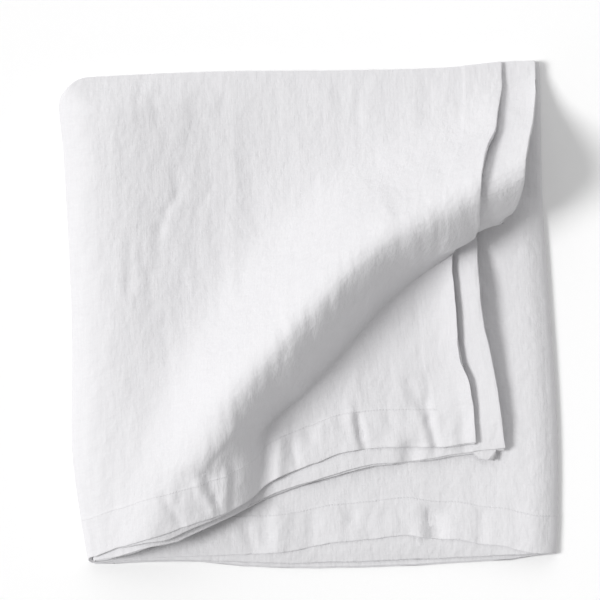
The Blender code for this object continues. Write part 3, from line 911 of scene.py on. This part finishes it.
def stitch_row(nodes, gap, other_gap, along):
    """One row of stitches, 1 on each thread of it."""
    row = nodes.step(nodes.size(nodes.less(gap, STITCH_GAP)), *STITCH_SIDE, 1.0, 0.0)
    beat = nodes.add("ShaderNodeMath", {0: nodes.times(along, 1 / STITCH_LENGTH)}, operation="FRACT")
    dash = nodes.step(nodes.size(nodes.less(beat, 0.5)), *STITCH_END, 1.0, 0.0)
    inside = nodes.step(other_gap, STITCH_GAP - STITCH_ROW_START, STITCH_GAP)
    return nodes.times(nodes.times(row, inside), dash), nodes.times(row, inside)


def linen():
    material = bpy.data.materials.new("Washed white linen")
    material.use_nodes = True
    nodes = Nodes(material.node_tree)
    place = nodes.add("ShaderNodeUVMap", {}, uv_map="flat cloth")
    split = nodes.add("ShaderNodeSeparateXYZ", {"Vector": place}).node
    across, along = split.outputs["X"], split.outputs["Y"]

    drift_across = nodes.times(nodes.less(nodes.uneven(place, (0.008, 0.050)), 0.5), THREAD_DRIFT)
    drift_along = nodes.times(nodes.less(nodes.uneven(place, (0.050, 0.009)), 0.5), THREAD_DRIFT)
    crowns = thread_crowns(nodes, nodes.sum(across, drift_across), nodes.sum(along, drift_along))
    reliefs = (SLUBS_ALONG, SLUBS_ACROSS, CRUSH, MOTTLE)
    tones = [nodes.uneven(place, relief.cell, relief.detail) for relief in reliefs]

    end_gap = nodes.lower(across, nodes.less(FLAT_SIZE[1], across))
    hem_gap = nodes.less(FLAT_SIZE[0] / 2, nodes.size(along))
    hem_thread, hem_row = stitch_row(nodes, hem_gap, end_gap, across)
    end_thread, end_row = stitch_row(nodes, end_gap, hem_gap, along)
    thread = nodes.sum(hem_thread, nodes.times(end_thread, END_STITCH_SHARE))
    row = nodes.sum(hem_row, nodes.times(end_row, END_STITCH_SHARE))

    height = nodes.times(crowns, THREAD_RELIEF)
    for relief, heights in zip(reliefs, tones):
        height = nodes.sum(height, nodes.times(heights, relief.depth))
    height = nodes.sum(height, nodes.times(thread, STITCH_RELIEF))
    bump = nodes.add("ShaderNodeBump", {"Strength": 1.0, "Distance": 1.0, "Height": height})

    tone_and_painted_light = nodes.sum(nodes.times(tones[0], SLUB_TONES[0]), nodes.times(tones[1], SLUB_TONES[1]))
    # painted light: the colour is lighter on the threads' crowns and darker in the hollows between them
    tone_and_painted_light = nodes.sum(tone_and_painted_light, nodes.times(crowns, CROWN_PAINTED_HIGHLIGHT))
    # painted shade: darker between the stitches of each row, where the stitch relief dips
    tone_and_painted_light = nodes.sum(tone_and_painted_light, nodes.times(nodes.less(thread, row), STITCH_PAINTED_SHADE))
    colour = nodes.add("ShaderNodeMix", {0: tone_and_painted_light, 6: DARK_THREAD, 7: LIGHT_THREAD}, 2, data_type="RGBA")
    roughness = nodes.step(tones[0], 0.2, 0.8, 0.80, 0.95)
    shader = material.node_tree.nodes["Principled BSDF"]
    for name, value in (("Base Color", colour), ("Roughness", roughness), ("Normal", bump)):
        material.node_tree.links.new(value, shader.inputs[name])
    shader.inputs["Specular IOR Level"].default_value = 0.2
    shader.inputs["Sheen Weight"].default_value = 0.08
    shader.inputs["Sheen Roughness"].default_value = 0.5
    return material


def camera():
    data = bpy.data.cameras.new("camera")
    data.lens = SENSOR_WIDTH * CAMERA_HEIGHT / VIEW_WIDTH
    data.sensor_width = SENSOR_WIDTH
    data.clip_end = 5 * CAMERA_HEIGHT
    view = bpy.data.objects.new("camera", data)
    bpy.context.scene.collection.objects.link(view)
    view.rotation_euler = (0, 0, -VIEW_TURN)
    view.location = (VIEW_MIDDLE[0] - CENTRE[0], VIEW_MIDDLE[1] - CENTRE[1], CAMERA_HEIGHT)
    bpy.context.scene.camera = view


FLOOR_SIDE = 12


def floor():
    bpy.ops.mesh.primitive_plane_add(size=FLOOR_SIDE)
    plane = bpy.context.object
    plane.name = "floor"
    material = bpy.data.materials.new("Pale floor")
    material.use_nodes = True
    shader = material.node_tree.nodes["Principled BSDF"]
    shader.inputs["Base Color"].default_value = (0.985, 0.985, 0.985, 1)
    shader.inputs["Roughness"].default_value = 0.8
    plane.data.materials.append(material)


def soft_sun(name, sun):
    """A broad light from far off."""
    data = bpy.data.lights.new(name, "SUN")
    data.angle = math.radians(sun.spread)
    data.energy = sun.strength
    light = bpy.data.objects.new(name, data)
    bpy.context.scene.collection.objects.link(light)
    light.rotation_euler = (math.radians(90 - sun.elevation), 0, math.radians(sun.azimuth + 90))


WORLD_LIGHT = 0.42
Sun = namedtuple("Sun", "azimuth elevation spread strength")  # degrees, round from +X and above the floor
KEY = Sun(178, 46, 20, 2.02)
FILL = Sun(88, 40, 60, 0.60)


def studio():
    world = bpy.data.worlds.new("studio")
    world.use_nodes = True
    background = world.node_tree.nodes["Background"]
    background.inputs["Color"].default_value = (1, 1, 1, 1)
    background.inputs["Strength"].default_value = WORLD_LIGHT
    bpy.context.scene.world = world
    soft_sun("key light", KEY)
    soft_sun("fill light", FILL)
    bpy.context.scene.view_settings.view_transform = "Standard"


cloth = tablecloth()
cloth.data.materials.append(linen())
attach(cloth, "root")
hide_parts("tablecloth")
floor()
studio()
camera()
